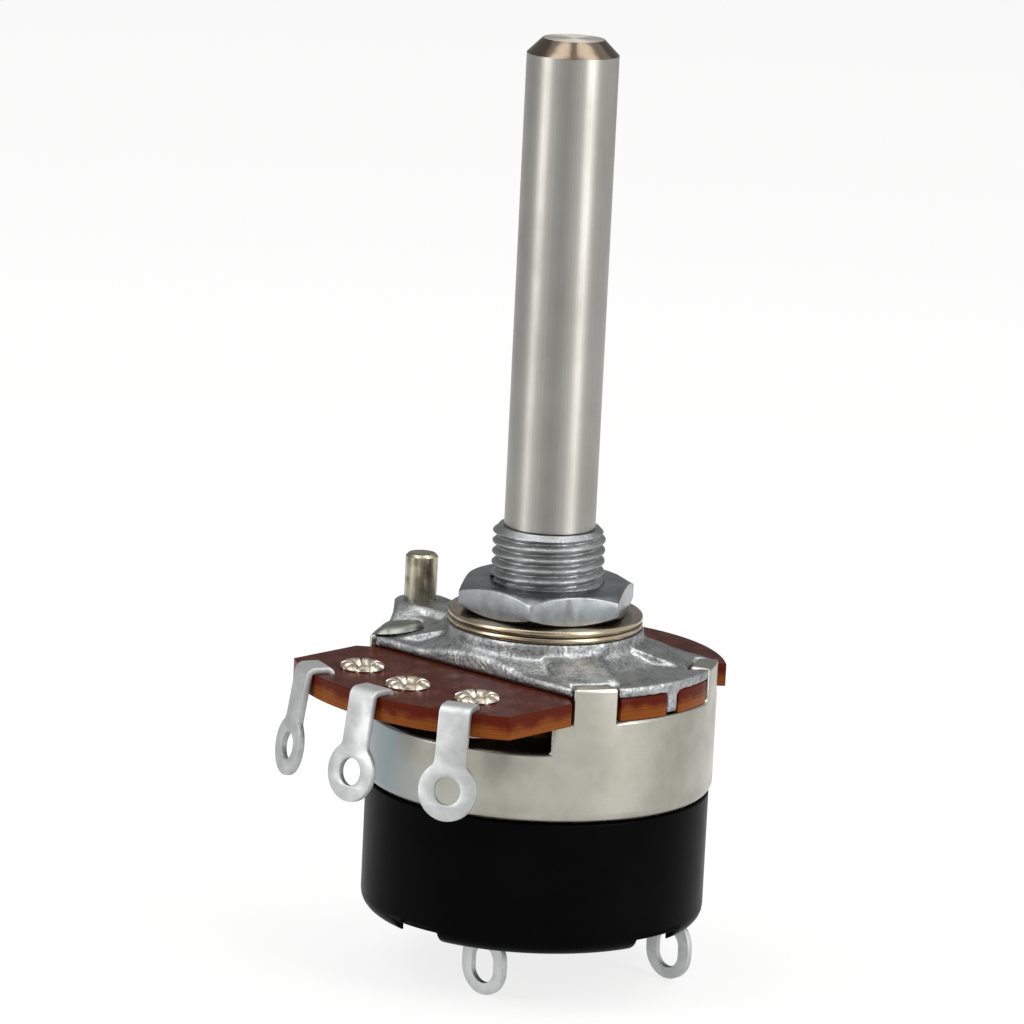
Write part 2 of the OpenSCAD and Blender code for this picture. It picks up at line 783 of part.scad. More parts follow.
// Strip riveted under the floor and bent down to an oblong eye
module switch_lug(at, toward) {
    eye_z = base_z - switch_lug_len + switch_eye_r;
    color("lightgray") difference() {
        union() {
            translate([at[0] - lug_w / 2, min(at[1], at[1] + toward * (lug_foot + 1.2)), base_z - lug_t])
                cube([lug_w, lug_foot + 1.2, lug_t]);
            translate([at[0] - lug_w / 2, at[1] - (toward < 0 ? lug_t : 0), eye_z])
                cube([lug_w, lug_t, base_z - eye_z]);
            translate([at[0] - switch_eye_r, at[1] - (toward < 0 ? lug_t : 0), eye_z])
                cube([2 * switch_eye_r, lug_t, slot_hole_len]);
            for (z = [eye_z, eye_z + slot_hole_len])
                translate([at[0], at[1] + (toward < 0 ? 0 : lug_t), z])
                    rotate([90, 0, 0])
                        cylinder(r = switch_eye_r, h = lug_t);
        }
        for (z = [eye_z - 0.1, eye_z + slot_hole_len - 0.1])
            translate([at[0], at[1] + lug_t + cut, z])
                rotate([90, 0, 0])
                    cylinder(r = slot_hole_r, h = 2 * (lug_t + cut));
        translate([at[0] - slot_hole_r, at[1] - lug_t - cut, eye_z - 0.1])
            cube([2 * slot_hole_r, 2 * (lug_t + cut), slot_hole_len]);
        translate([at[0], at[1] + toward * lug_foot, base_z - lug_t - cut])
            cylinder(r = rivet_r + fixed_fit, h = lug_t + 2 * cut);
    }
}

module front_switch_lug() {
    switch_lug(front_lug, 1);
}

module rear_switch_lug() {
    switch_lug(rear_lug, -1);
}

// Rivets that hold the switch lugs, with the fixed contacts as their inner heads
module contact_rivets() {
    tail_t = 0.3;
    color("goldenrod")
        for (p = [front_rivet, rear_rivet])
            translate([p[0], p[1], 0]) {
                translate([0, 0, base_z - lug_t - tail_t])
                    cylinder(r = button_r, h = tail_t);
                translate([0, 0, base_z - lug_t - tail_t / 2])
                    cylinder(r = rivet_r, h = floor_top - base_z + lug_t + tail_t);
                translate([0, 0, floor_top])
                    cylinder(r = button_r, h = button_h);
            }
}

module case_rivets() {
    color("silver")
        for (a = case_rivet_angles)
            rotate([0, 0, a])
                translate([case_rivet_r, 0, 0]) {
                    translate([0, 0, base_z - case_rivet_head_t])
                        cylinder(r = case_rivet_head_r, h = case_rivet_head_t);
                    translate([0, 0, base_z - case_rivet_head_t / 2])
                        cylinder(r = rivet_r, h = case_floor_top - base_z + case_rivet_head_t);
                    translate([0, 0, case_floor_top])
                        cylinder(r = case_rivet_head_r, h = case_rivet_head_t);
                }
}

shaft();
retaining_clip();
thrust_washer();
cover();
locating_pin();
lock_washer();
plain_washer();
hex_nut();
element_board();
resistive_track();
collector_ring();
left_terminal();
wiper_terminal();
right_terminal();
terminal_eyelets();
case();
rotor();
wiper();
switch_housing();
switch_rotor();
bridge_contact();
detent_spring();
detent_ball();
front_switch_lug();
rear_switch_lug();
contact_rivets();
case_rivets();
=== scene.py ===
"""Dresses the rotary potentiometer: finishes for its solids, and finer pieces where the solids are plain.

Sizes are in millimetres in the part's own frame: the shaft stands along +Z, z = 0 is the face of the
cover's boss, and the three terminals point to -Y. Meshes are built in millimetres and scaled to metres
when they are stored.
"""

import logging
import math
from dataclasses import dataclass
from enum import Enum

import bmesh
import bpy
from mathutils import Matrix, Vector


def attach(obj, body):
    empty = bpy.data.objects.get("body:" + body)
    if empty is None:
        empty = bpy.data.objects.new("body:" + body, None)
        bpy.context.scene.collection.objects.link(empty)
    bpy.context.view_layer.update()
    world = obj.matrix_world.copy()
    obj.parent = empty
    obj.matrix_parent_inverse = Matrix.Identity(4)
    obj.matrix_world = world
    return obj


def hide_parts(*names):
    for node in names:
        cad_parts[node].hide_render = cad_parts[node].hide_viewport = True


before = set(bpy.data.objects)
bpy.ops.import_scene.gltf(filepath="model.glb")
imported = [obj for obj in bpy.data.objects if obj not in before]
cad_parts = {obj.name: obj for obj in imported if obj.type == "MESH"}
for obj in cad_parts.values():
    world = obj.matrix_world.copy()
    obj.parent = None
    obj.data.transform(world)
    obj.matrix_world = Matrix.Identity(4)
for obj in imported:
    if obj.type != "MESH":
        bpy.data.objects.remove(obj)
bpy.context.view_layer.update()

LOG = logging.getLogger("potentiometer")
MM = 0.001
HOUSING = "housing"
ROD_RADIUS = 3.175
NEAR_ZERO = 1e-6
SHARP_ANGLE = math.radians(35)
ROUNDED_ANGLE = math.radians(40)
Tree = bpy.types.NodeTree
Socket = bpy.types.NodeSocket
Draft = bmesh.types.BMesh


def linear(hex_colour: str) -> tuple[float, float, float, float]:
    """Turns an sRGB hex colour into the linear colour that a shader socket takes.

    Args:
        hex_colour: Six hex digits, with or without a leading hash.

    Returns:
        Red, green, blue and an alpha of one.
    """
    digits = hex_colour.lstrip("#")
    parts = [int(digits[i:i + 2], 16) / 255 for i in (0, 2, 4)]
    red, green, blue = [p / 12.92 if p <= 0.04045 else ((p + 0.055) / 1.055) ** 2.4 for p in parts]
    return red, green, blue, 1.0


def add(tree: Tree, kind: str, settings: dict[str, object] | None = None,
        inputs: dict[str | int, object] | None = None) -> bpy.types.Node:
    """Adds a node, sets its properties and fills or links its inputs.

    Args:
        tree: The node tree that gets the node.
        kind: The node's type, without the leading ShaderNode.
        settings: Properties of the node.
        inputs: Values for its sockets. A value that is itself a socket is linked.

    Returns:
        The new node.
    """
    made = tree.nodes.new("ShaderNode" + kind)
    for key, value in (settings or {}).items():
        setattr(made, key, value)
    for key, value in (inputs or {}).items():
        if isinstance(value, Socket):
            tree.links.new(value, made.inputs[key])
        else:
            made.inputs[key].default_value = value
    return made


class Grain(Enum):
    """Which way the tool marks of a metal surface run."""

    ALONG = "along the axis"
    RINGS = "rings about the axis on a flat face"
    CLOUDS = "no direction"


@dataclass(frozen=True)
class Finish:
    """A surface finish, made into a material when it is first asked for."""

    name: str
    tint: str
    roughness: float
    metallic: float = 0.0

    def material(self) -> bpy.types.Material:
        """Returns the material of this finish, made only once."""
        known = bpy.data.materials.get(self.name)
        if known is not None:
            return known
        made = bpy.data.materials.new(self.name)
        made.use_nodes = True
        tree = made.node_tree
        shader = tree.nodes["Principled BSDF"]
        shader.inputs["Base Color"].default_value = linear(self.tint)
        shader.inputs["Metallic"].default_value = self.metallic
        shader.inputs["Roughness"].default_value = self.roughness
        self.pattern(tree, shader)
        return made

    def pattern(self, tree: Tree, shader: bpy.types.Node) -> None:
        """Adds the finish's own detail.

        Args:
            tree: The material's node tree.
            shader: Its Principled shader.
        """
        raise NotImplementedError

    def vary(self, tree: Tree, shader: bpy.types.Node, factor: Socket, other: str, rough_step: float) -> None:
        """Lets a pattern move the colour and the roughness.

        Args:
            tree: The material's node tree.
            shader: Its Principled shader.
            factor: The pattern, from 0 to 1.
            other: Hex colour that the tint goes to where the pattern is 1.
            rough_step: How much the roughness grows there.
        """
        tree.links.new(blend(tree, factor, self.tint, other), shader.inputs["Base Color"])
        rough = contrast(tree, factor, 0.0, 1.0, self.roughness, self.roughness + rough_step)
        tree.links.new(rough, shader.inputs["Roughness"])

    def relief(self, tree: Tree, shader: bpy.types.Node, height: Socket, depth: float) -> None:
        """Gives the surface a fine relief.

        Args:
            tree: The material's node tree.
            shader: Its Principled shader.
            height: The relief, from 0 to 1.
            depth: Its depth in millimetres.
        """
        bump = add(tree, "Bump", None, {"Strength": 1.0, "Distance": depth * MM, "Height": height})
        tree.links.new(bump.outputs[0], shader.inputs["Normal"])


def noise(tree: Tree, place: Socket, size: float, detail: float = 3.0) -> Socket:
    """Makes a cloudy pattern of a given grain size.

    Args:
        tree: The node tree.
        place: Coordinates in metres.
        size: Width of one cloud in millimetres.
        detail: How many finer layers it has.

    Returns:
        The pattern, about 0 to 1.
    """
    inputs = {"Vector": place, "Scale": 1 / (size * MM), "Detail": detail, "Roughness": 0.55}
    return add(tree, "TexNoise", None, inputs).outputs[0]


def stripes(tree: Tree, line: Socket, detail: float) -> Socket:
    """Makes a pattern of stripes across a line, about 0 to 1, with one stripe to a unit."""
    inputs = {"W": line, "Scale": 1.0, "Detail": detail}
    return add(tree, "TexNoise", {"noise_dimensions": "1D"}, inputs).outputs[0]


def contrast(tree: Tree, value: Socket, low: float, high: float, start: float = 0.0,
             end: float = 1.0) -> Socket:
    """Stretches the part of a pattern between two levels to a range, by default 0 to 1."""
    return add(tree, "MapRange", None, {0: value, 1: low, 2: high, 3: start, 4: end}).outputs[0]


def maths(tree: Tree, step: str, a: object, b: object = 0.0) -> Socket:
    """Joins two values or sockets by one step of arithmetic."""
    return add(tree, "Math", {"operation": step}, {0: a, 1: b}).outputs[0]


def plus(tree: Tree, a: object, b: object) -> Socket:
    """Adds two values or sockets."""
    return maths(tree, "ADD", a, b)


def times(tree: Tree, a: object, b: object) -> Socket:
    """Multiplies two values or sockets."""
    return maths(tree, "MULTIPLY", a, b)


def blend(tree: Tree, share: object, first: str | Socket, second: str | Socket) -> Socket:
    """Mixes two colours, each a hex text or a socket, by the share of the second one."""
    low, high = (linear(end) if isinstance(end, str) else end for end in (first, second))
    return add(tree, "Mix", {"data_type": "RGBA"}, {0: share, 6: low, 7: high}).outputs[2]


def object_place(tree: Tree) -> Socket:
    """Returns the place on the part, in metres."""
    return add(tree, "TexCoord").outputs["Object"]


def upright(tree: Tree, vector: Socket) -> Socket:
    """Returns the part of a vector that runs along Z."""
    return add(tree, "SeparateXYZ", None, {0: vector}).outputs[2]


def facing(tree: Tree) -> Socket:
    """Returns how far a face looks up, from -1 to 1."""
    return upright(tree, add(tree, "NewGeometry").outputs["Normal"])


@dataclass(frozen=True)
class ToolMarkedMetal(Finish):
    """Machined or drawn metal with fine marks of the tool."""

    metallic: float = 1.0
    dull: str = "#8F8C86"
    grain: Grain = Grain.CLOUDS
    mark: float = 0.12
    depth: float = 0.004
    stretch: float = 0.0
    cloud: float = 2.5
    mark_share: float = 0.45
    mark_levels: tuple[float, float] = (0.35, 0.65)
    cloud_levels: tuple[float, float] = (0.4, 0.7)
    rough_step: float = 0.1

    def mark_line(self, tree: Tree, place: Socket) -> Socket:
        """Measures across the tool marks.

        Args:
            tree: The material's node tree.
            place: Coordinates in metres.

        Returns:
            The way across the marks, one unit to a mark.
        """
        x, y, _ = add(tree, "SeparateXYZ", None, {0: place}).outputs
        if self.grain is Grain.ALONG:
            return times(tree, maths(tree, "ARCTAN2", y, x), ROD_RADIUS / self.mark)
        if self.grain is Grain.RINGS:
            level = add(tree, "CombineXYZ", None, {0: x, 1: y}).outputs[0]
            reach = add(tree, "VectorMath", {"operation": "LENGTH"}, {0: level}).outputs[1]
            return times(tree, reach, 1 / (self.mark * MM))
        return times(tree, noise(tree, place, self.mark * 4), 4.0)

    def pattern(self, tree: Tree, shader: bpy.types.Node) -> None:
        """Draws the marks along the grain, with soft clouds of handling over them."""
        place = object_place(tree)
        marks = stripes(tree, self.mark_line(tree, place), 2.0)
        fine = contrast(tree, marks, *self.mark_levels)
        soft = contrast(tree, noise(tree, place, self.cloud), *self.cloud_levels)
        both = plus(tree, times(tree, fine, self.mark_share), times(tree, soft, 1 - self.mark_share))
        self.vary(tree, shader, both, self.dull, self.rough_step)
        self.relief(tree, shader, marks, self.depth)
        if self.stretch:
            shader.inputs["Anisotropic"].default_value = self.stretch
            shader.inputs["Anisotropic Rotation"].default_value = 0.25
            tangent = add(tree, "Tangent", {"direction_type": "RADIAL", "axis": "Z"})
            tree.links.new(tangent.outputs[0], shader.inputs["Tangent"])


@dataclass(frozen=True)
class GroundRod(ToolMarkedMetal):
    """A ground rod whose tip is turned: the cut chamfer is smoother, with a painted dark warm reflection, and
    its end face has a painted highlight.
    """

    # Painted light: the chamfer's colour is a painted dark warm reflection, the end face's colour a painted
    # highlight.
    cut: str = "#6E6255"
    end: str = "#EBE4D8"
    cut_roughness: float = 0.2
    cut_from: float = 39.83
    cut_fade: float = 0.05
    slope_from: tuple[float, float] = (0.3, 0.5)
    slope_to: tuple[float, float] = (0.95, 0.88)
    end_highlight_levels: tuple[float, float] = (0.93, 0.97)

    def pattern(self, tree: Tree, shader: bpy.types.Node) -> None:
        """Draws the rod's marks, then paints a dark warm reflection on the chamfer and a highlight on the end
        face.
        """
        super().pattern(tree, shader)
        up = facing(tree)
        slope = times(tree, contrast(tree, up, *self.slope_from), contrast(tree, up, *self.slope_to))
        height = upright(tree, object_place(tree))
        reached = contrast(tree, height, (self.cut_from - self.cut_fade) * MM, self.cut_from * MM)
        here = times(tree, slope, reached)
        colour = shader.inputs["Base Color"].links[0].from_socket
        rough = shader.inputs["Roughness"].links[0].from_socket
        # The chamfer's painted reflection and the end face's painted highlight go into the base colour here.
        with_chamfer_reflection = blend(tree, here, colour, self.cut)
        with_end_highlight = blend(tree, contrast(tree, up, *self.end_highlight_levels), with_chamfer_reflection, self.end)
        tree.links.new(with_end_highlight, shader.inputs["Base Color"])
        smoother = add(tree, "Mix", None, {0: here, 2: rough, 3: self.cut_roughness})
        tree.links.new(smoother.outputs[0], shader.inputs["Roughness"])


@dataclass(frozen=True)
class CastMetal(Finish):
    """Die-cast zinc: a fine frosted grain, flow patches, and edges lightened by wear and a painted highlight.
    """

    metallic: float = 1.0
    dull: str = "#6E7276"
    edge_wear_and_highlight: str = "#ABAEAF"
    grain: float = 0.22
    patch: float = 1.7
    grain_share: float = 0.4
    grain_levels: tuple[float, float] = (0.4, 0.62)
    patch_levels: tuple[float, float] = (0.38, 0.62)
    rough_levels: tuple[float, float] = (0.35, 0.65)
    edge_wear_and_highlight_levels: tuple[float, float] = (0.53, 0.66)
    smoother: float = 0.06
    rougher: float = 0.12
    machined_from: float = 0.3
    machined_fade: float = 0.1
    machined_dull: float = 0.55
    patch_height: float = 0.8
    depth: float = 0.05

    def pattern(self, tree: Tree, shader: bpy.types.Node) -> None:
        """Lays grain and patches and lightens what stands proud, as wear and a painted highlight."""
        place = object_place(tree)
        grain = noise(tree, place, self.grain, 4.0)
        patch = noise(tree, place, self.patch, 5.0)
        fade_end = (self.machined_from + self.machined_fade) * MM
        as_cast = contrast(tree, upright(tree, place), fade_end, self.machined_from * MM)
        fine = times(tree, contrast(tree, grain, *self.grain_levels), self.grain_share)
        coarse = times(tree, contrast(tree, patch, *self.patch_levels), 1 - self.grain_share)
        cast = times(tree, plus(tree, fine, coarse), as_cast)
        machined = times(tree, maths(tree, "SUBTRACT", 1.0, as_cast), self.machined_dull)
        frosted = blend(tree, maths(tree, "MAXIMUM", cast, machined), self.tint, self.dull)
        # Painted highlight and wear: edges that stand proud get the lighter colour.
        edge = contrast(tree, add(tree, "NewGeometry").outputs["Pointiness"], *self.edge_wear_and_highlight_levels)
        tree.links.new(blend(tree, edge, frosted, self.edge_wear_and_highlight), shader.inputs["Base Color"])
        low, high = self.roughness - self.smoother, self.roughness + self.rougher
        tree.links.new(contrast(tree, patch, *self.rough_levels, low, high), shader.inputs["Roughness"])
        self.relief(tree, shader, plus(tree, grain, times(tree, patch, self.patch_height)), self.depth)


@dataclass(frozen=True)
class PlatedSheet(Finish):
    """Plated or rolled sheet, or printed silver: cloudy, satin, with a few stains."""

    metallic: float = 1.0
    cloudy: str = "#A9A79C"
    stain: str = "#8A7B5C"
    cloud: float = 3.0
    stained: float = 0.12
    stain_share: float = 0.45
    cloud_levels: tuple[float, float] = (0.35, 0.68)
    stain_levels: tuple[float, float] = (0.62, 0.8)
    rough_step: float = 0.1
    ripple: float = 0.9
    depth: float = 0.002
    # Colour of a painted shade on the wall below the board, if any.
    painted_shade: str = ""

    def pattern(self, tree: Tree, shader: bpy.types.Node) -> None:
        """Clouds the plate and puts small stains on it."""
        place = object_place(tree)
        clouds = contrast(tree, noise(tree, place, self.cloud), *self.cloud_levels)
        spots = contrast(tree, noise(tree, place, self.cloud * self.stain_share), *self.stain_levels)
        plated = blend(tree, clouds, self.tint, self.cloudy)
        plated = blend(tree, times(tree, spots, self.stained), plated, self.stain)
        # Painted shade: darkens the wall below the board, by the terminals, to a bluish grey.
        if self.painted_shade:
            plated = blend(tree, self.painted_shade_share(tree, place, clouds), plated, self.painted_shade)
        tree.links.new(plated, shader.inputs["Base Color"])
        rough = contrast(tree, clouds, 0.0, 1.0, self.roughness, self.roughness + self.rough_step)
        tree.links.new(rough, shader.inputs["Roughness"])
        self.relief(tree, shader, noise(tree, place, self.ripple, 2.0), self.depth)

    def painted_shade_share(self, tree: Tree, place: Socket, clouds: Socket) -> Socket:
        """Marks the wall below the board, between the terminals and the pin, for a bluish painted shade with
        a cloudy border.

        Args:
            tree: The material's node tree.
            place: Coordinates in metres.
            clouds: The plate's clouds, from 0 to 1.

        Returns:
            How much painted shade the plate gets, from 0 to 1.
        """
        x, y, z = add(tree, "SeparateXYZ", None, {0: place}).outputs
        wander = times(tree, maths(tree, "SUBTRACT", clouds, 0.5), 4 * MM)
        towards_pin = contrast(tree, plus(tree, x, wander), 2.0 * MM, -3.5 * MM)
        towards_terminals = contrast(tree, plus(tree, y, wander), -2.0 * MM, -8.0 * MM)
        below_board = contrast(tree, z, -3.9 * MM, -4.4 * MM)
        return times(tree, times(tree, towards_pin, towards_terminals), below_board)


@dataclass(frozen=True)
class PaperLaminate(Finish):
    """Phenolic paper laminate: glossy red-brown faces, sawn edges amber below and redder above."""

    ply_red: str = "#4E1708"
    ply_amber: str = "#733D15"
    mottle: str = "#1C0B07"
    gloss: float = 0.05
    amber_to: float = -3.6
    red_from: float = -3.05
    ply: float = 0.12
    ply_dark: float = 0.35
    ply_levels: tuple[float, float] = (0.4, 0.7)
    fibre: float = 1.4
    fibre_dark: float = 0.6
    fibre_levels: tuple[float, float] = (0.35, 0.7)
    rough_levels: tuple[float, float] = (0.3, 0.7)
    rough_step: float = 0.15
    face_levels: tuple[float, float] = (0.6, 0.9)
    ripple: float = 0.3
    depth: float = 0.01

    def pattern(self, tree: Tree, shader: bpy.types.Node) -> None:
        """Colours faces and edges and prints the paper's fibre into the gloss."""
        shader.inputs["Specular IOR Level"].default_value = self.gloss
        place = object_place(tree)
        fibre = noise(tree, place, self.fibre, 6.0)
        height = upright(tree, place)
        ragged = plus(tree, height, times(tree, maths(tree, "SUBTRACT", fibre, 0.5), self.fibre * MM))
        redder = contrast(tree, ragged, self.amber_to * MM, self.red_from * MM)
        edge = blend(tree, redder, self.ply_amber, self.ply_red)
        plies = contrast(tree, stripes(tree, times(tree, height, 1 / (self.ply * MM)), 1.0), *self.ply_levels)
        edge = blend(tree, times(tree, plies, self.ply_dark), edge, self.mottle)
        fibres = contrast(tree, fibre, *self.fibre_levels)
        face = blend(tree, times(tree, fibres, self.fibre_dark), self.tint, self.mottle)
        level = contrast(tree, maths(tree, "ABSOLUTE", facing(tree)), *self.face_levels)
        tree.links.new(blend(tree, level, edge, face), shader.inputs["Base Color"])
        low, high = self.roughness, self.roughness + self.rough_step
        tree.links.new(contrast(tree, fibre, *self.rough_levels, low, high), shader.inputs["Roughness"])
        self.relief(tree, shader, noise(tree, place, self.ripple), self.depth)


@dataclass(frozen=True)
class Moulding(Finish):
    """Moulded plastic or printed ink: an even colour with a faint orange peel."""

    other: str = "#202022"
    peel: float = 0.6
    depth: float = 0.01
    gloss: float = 0.5
    flow: float = 5.0
    flow_levels: tuple[float, float] = (0.35, 0.7)
    rough_step: float = 0.08

    def pattern(self, tree: Tree, shader: bpy.types.Node) -> None:
        """Gives the moulding its peel and slight flow marks."""
        shader.inputs["Specular IOR Level"].default_value = self.gloss
        place = object_place(tree)
        flow = contrast(tree, noise(tree, place, self.flow, 4.0), *self.flow_levels)
        self.vary(tree, shader, flow, self.other, self.rough_step)
        self.relief(tree, shader, noise(tree, place, self.peel, 2.0), self.depth)


# Drawn and ground steel rod, nickel plated: long satin bands of light, with hardly visible lengthwise marks,
# a painted reflection on the tip's chamfer and a painted highlight on its end.
GROUND_ROD = GroundRod("ground_nickel_rod", "#9E9C97", 0.36, grain=Grain.ALONG, dull="#908D87", mark=0.1,
                       depth=0.0015, stretch=0.6, cloud=4.0)
# Die-cast zinc alloy: frosted, bluish grey, patchy, with edges lightened by wear and a painted highlight.
CAST_ZINC = CastMetal("die_cast_zinc", "#B4B6B5", 0.36, dull="#5C5E60")
# Blanked steel washers, nickel plated: warm, bright and ringed with fine marks.
NICKEL_WASHER = ToolMarkedMetal("nickel_plated_washer", "#AFA28C", 0.2, grain=Grain.RINGS, dull="#8A7C66",
                                mark=0.15)
# Drawn nickel pin: warm and streaked lengthwise.
NICKEL_PIN = ToolMarkedMetal("nickel_plated_pin", "#B9B29E", 0.26, grain=Grain.ALONG, dull="#5E594C",
                             mark=0.07, depth=0.02, cloud=0.8)
# Turned steel nut, zinc plated and bright: bluish, with small tumbling marks.
ZINC_NUT = ToolMarkedMetal("bright_zinc_plate", "#8F9396", 0.24, dull="#686C6E", mark=0.3, depth=0.01,
                           cloud=1.6)
# Tinned brass strip: silver white, satin and soft.
TINNED_BRASS = PlatedSheet("tinned_brass_strip", "#B9BBBB", 0.5, cloudy="#A6A8A7", stain="#8F8A7C", cloud=1.2)
# Drawn tin plate: warm light grey, satin, clouded by the press, with a few faint brown specks and a bluish
# painted shade on the wall below the board.
TIN_PLATE = PlatedSheet("drawn_tin_plate", "#ACABA0", 0.27, cloudy="#98968C", stain="#7A6A4A", cloud=3.5,
                        painted_shade="#848F92")
# Tin plate spread by the staking tool: darker and duller than the drawn wall.
STAKED_TIN = PlatedSheet("staked_tin_plate", "#8C8F87", 0.36, cloudy="#6F736C", stain="#5E5A48", cloud=0.8,
                         stained=0.4)
# Rolled brass eyelet, tinned: pale and a little golden.
EYELET = PlatedSheet("rolled_eyelet", "#D2C8BA", 0.34, cloudy="#9A8E7E", stain="#5A4C3C", cloud=0.5,
                     stained=0.5)
# Paper-based phenolic laminate: glossy, red-brown, amber low on the sawn edge.
LAMINATE = PaperLaminate("phenolic_paper_laminate", "#46190D", 0.22)
# Compression-moulded black phenolic: near black with a soft gloss.
BLACK_PHENOLIC = Moulding("black_phenolic", "#030303", 0.3, other="#050506", peel=0.9, depth=0.006,
                          gloss=0.02)
# Moulded phenolic of the rotor: dark brown, dull, and kept near black as painted shade for the gap that it
# shows through.
BROWN_PHENOLIC_IN_PAINTED_SHADE = Moulding("brown_phenolic", "#17110D", 0.5, other="#221810", gloss=0.3)
# Moulded nylon: cream, matt.
CREAM_NYLON = Moulding("cream_nylon", "#D9CDAE", 0.5, other="#C9BB98")
# Printed carbon: black and dull.
CARBON_INK = Moulding("carbon_ink", "#161616", 0.6, other="#242424", peel=0.15)
# Printed silver: dull silver.
SILVER_INK = PlatedSheet("printed_silver", "#C9C9C4", 0.45, cloudy="#AFAFA8", cloud=0.8)
# Rolled phosphor bronze: golden, satin.
BRONZE = PlatedSheet("phosphor_bronze", "#C79A55", 0.28, cloudy="#A87F42", stain="#6B4D25", cloud=1.2)
# Hardened spring steel: bright grey.
SPRING_STEEL = ToolMarkedMetal("hardened_spring_steel", "#B2B3B4", 0.25, dull="#85878A", mark=0.2)

NODE_FINISHES: dict[str, Finish] = {
    "shaft": GROUND_ROD, "retaining_clip": SPRING_STEEL, "thrust_washer": SPRING_STEEL, "cover": CAST_ZINC,
    "locating_pin": NICKEL_PIN, "lock_washer": NICKEL_WASHER, "plain_washer": NICKEL_WASHER,
    "hex_nut": ZINC_NUT, "element_board": LAMINATE, "resistive_track": CARBON_INK,
    "collector_ring": SILVER_INK, "left_terminal": TINNED_BRASS, "wiper_terminal": TINNED_BRASS,
    "right_terminal": TINNED_BRASS, "terminal_eyelets": EYELET, "case": TIN_PLATE,
    "rotor": BROWN_PHENOLIC_IN_PAINTED_SHADE, "wiper": BRONZE,
    "switch_housing": BLACK_PHENOLIC, "switch_rotor": CREAM_NYLON, "bridge_contact": BRONZE,
    "detent_spring": SPRING_STEEL, "detent_ball": SPRING_STEEL, "front_switch_lug": TINNED_BRASS,
    "rear_switch_lug": TINNED_BRASS, "contact_rivets": BRONZE, "case_rivets": EYELET,
}
# Round of the edges of each solid in millimetres.
EDGE_ROUNDS: dict[str, float] = {
    "shaft": 0.22, "locating_pin": 0.15, "lock_washer": 0.2, "plain_washer": 0.2, "hex_nut": 0.1,
    "element_board": 0.06, "case": 0.24, "switch_housing": 0.12, "front_switch_lug": 0.06,
    "rear_switch_lug": 0.06,
}
# Solids whose rounds keep their full size even where two of them meet.
WIDE_ROUNDS = ("case", "switch_housing")


def mesh_object(bm: Draft, name: str) -> bpy.types.Object:
    """Turns a mesh draft into an object of the scene, and frees the draft."""
    mesh = bpy.data.meshes.new(name)
    bm.to_mesh(mesh)
    bm.free()
    made = bpy.data.objects.new(name, mesh)
    bpy.context.scene.collection.objects.link(made)
    return made


def evaluated_mesh(holder: bpy.types.Object) -> bpy.types.Mesh:
    """Returns a new mesh of an object with its modifiers applied."""
    bpy.context.view_layer.update()
    return bpy.data.meshes.new_from_object(holder.evaluated_get(bpy.context.evaluated_depsgraph_get()))


def store(bm: Draft, name: str, body: str, finish: Finish, replaces: tuple[str, ...] = ()) -> None:
    """Stores a mesh built in millimetres as a piece of the object.

    Args:
        bm: The mesh. It is freed.
        name: Name of the piece.
        body: The body that it moves with.
        finish: Its finish.
        replaces: Nodes that it stands for.
    """
    bmesh.ops.scale(bm, vec=(MM, MM, MM), verts=bm.verts)
    bmesh.ops.recalc_face_normals(bm, faces=bm.faces)
    piece = mesh_object(bm, name)
    piece.data.materials.append(finish.material())
    piece.data.shade_smooth()
    piece.data.set_sharp_from_angle(angle=SHARP_ANGLE)
    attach(piece, body)
    if replaces:
        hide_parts(*replaces)
    LOG.info("piece %s: %d faces", name, len(piece.data.polygons))


def round_edges(piece: bpy.types.Object, width: float, segments: int = 3) -> None:
    """Rounds the edges of a piece.

    Args:
        piece: The piece.
        width: Size of the round in millimetres.
        segments: Faces across it.
    """
    # The faces of a solid come apart from each other, and only joined faces share an edge to round.
    weld = piece.modifiers.new("join_faces", "WELD")
    weld.merge_threshold = 0.002 * MM
    bevel = piece.modifiers.new("edge_round", "BEVEL")
    bevel.width = width * MM
    bevel.segments = segments
    bevel.use_clamp_overlap = piece.name not in WIDE_ROUNDS
    bevel.limit_method = "ANGLE"
    bevel.angle_limit = ROUNDED_ANGLE
    piece.modifiers.new("even_shading", "WEIGHTED_NORMAL")


def rounded_path(corners: list[Vector], radius: float, steps: int = 6) -> list[Vector]:
    """Rounds the corners of a line in a plane.

    Args:
        corners: Points of the line.
        radius: Radius of each bend.
        steps: Pieces per bend.

    Returns:
        The rounded line.
    """
    path = [corners[0]]
    for before, corner, after in zip(corners, corners[1:], corners[2:]):
        way_in = (corner - before).normalized()
        way_out = (after - corner).normalized()
        turn = math.acos(max(-1.0, min(1.0, way_in.dot(way_out))))
        back = radius * math.tan(turn / 2)
        start = corner - way_in * back
        side = (way_out - way_in * way_out.dot(way_in)).normalized()
        centre = start + side * radius
        for step in range(steps + 1):
            at = turn * step / steps
            path.append(centre - side * radius * math.cos(at) + way_in * radius * math.sin(at))
    path.append(corners[-1])
    return path


def on_circle(radius: float, turn: float) -> tuple[float, float]:
    """Returns the point of a circle about the origin at an angle in radians."""
    return radius * math.cos(turn), radius * math.sin(turn)


def skin_rows(bm: Draft, rows: list[list[bmesh.types.BMVert]], closed: bool = True) -> None:
    """Spans faces between rows of points.

    Args:
        bm: The mesh of the points.
        rows: Rows with the same number of points.
        closed: Whether each row runs round to its own start.
    """
    for a, b in zip(rows, rows[1:]):
        for i in range(len(a) if closed else len(a) - 1):
            k = (i + 1) % len(a)
            bm.faces.new((a[i], a[k], b[k], b[i]))


